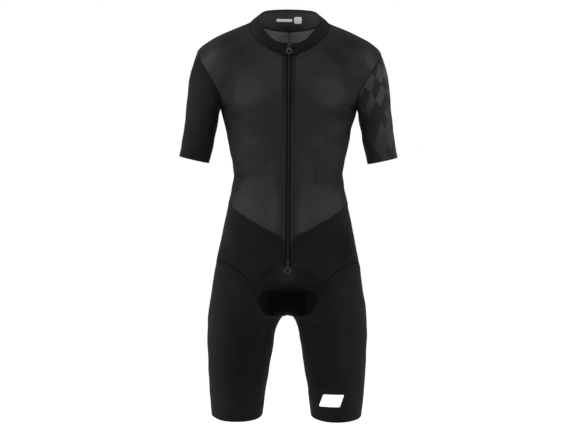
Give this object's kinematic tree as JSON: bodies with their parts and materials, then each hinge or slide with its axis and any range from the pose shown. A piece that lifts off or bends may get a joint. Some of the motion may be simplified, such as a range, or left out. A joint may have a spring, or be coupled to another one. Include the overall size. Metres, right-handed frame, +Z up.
{
  "type": "cycling skinsuit",
  "caption": "Close-fitting cycling skinsuit with short sleeves, stand collar, full front zip and knee-length shorts, filled out as worn.",
  "frame": {"origin": "in the hollow at the base of the neck, level with the back collar seam, where the wearer's shoulders carry the suit", "axes": "+Z up, -Y the suit's front with the zip, +X the wearer's left side"},
  "size_m": [0.512, 0.2321, 0.9669],
  "materials": {
    "mesh_knit": "fine open knit with slanted ribs",
    "smooth_knit": "smooth stretch knit with a soft sheen",
    "waist_binding": "flat stretch binding, stitched on both edges",
    "zip_tape": "woven tape",
    "zip_coil": "fine moulded coil",
    "zip_metal": "satin cast metal, dark"
  },
  "bodies": {
    "suit": {"front_left": "mesh_knit", "front_right": "mesh_knit", "back_left": "mesh_knit", "back_right": "mesh_knit", "waist_binding_left": "waist_binding", "waist_binding_right": "waist_binding", "front_yoke_left": "smooth_knit", "front_yoke_right": "smooth_knit", "seat_left": "smooth_knit", "seat_right": "smooth_knit", "crotch_insert": "smooth_knit", "leg_left": "smooth_knit", "leg_right": "smooth_knit", "leg_band_left": "smooth_knit", "leg_band_right": "smooth_knit", "sleeve_left": "smooth_knit", "sleeve_right": "smooth_knit", "collar": "smooth_knit", "zip_tape_left": "zip_tape", "zip_tape_right": "zip_tape", "zip_coil": "zip_coil", "zip_slider_upper": "zip_metal", "zip_slider_lower": "zip_metal"},
    "upper_pull": {"zip_pull_upper": "zip_metal"},
    "lower_pull": {"zip_pull_lower": "zip_metal"}
  },
  "joints": [
    {"name": "upper_pull_swing", "type": "hinge", "parent": "suit", "child": "upper_pull", "pos_m": [0, -0.05788, -0.04562], "axis": [-1, 0, 0], "range_deg": [0, 150]},
    {"name": "lower_pull_swing", "type": "hinge", "parent": "suit", "child": "lower_pull", "pos_m": [0, -0.10496, -0.54737], "axis": [-1, 0, 0], "range_deg": [0, 150]}
  ]
}
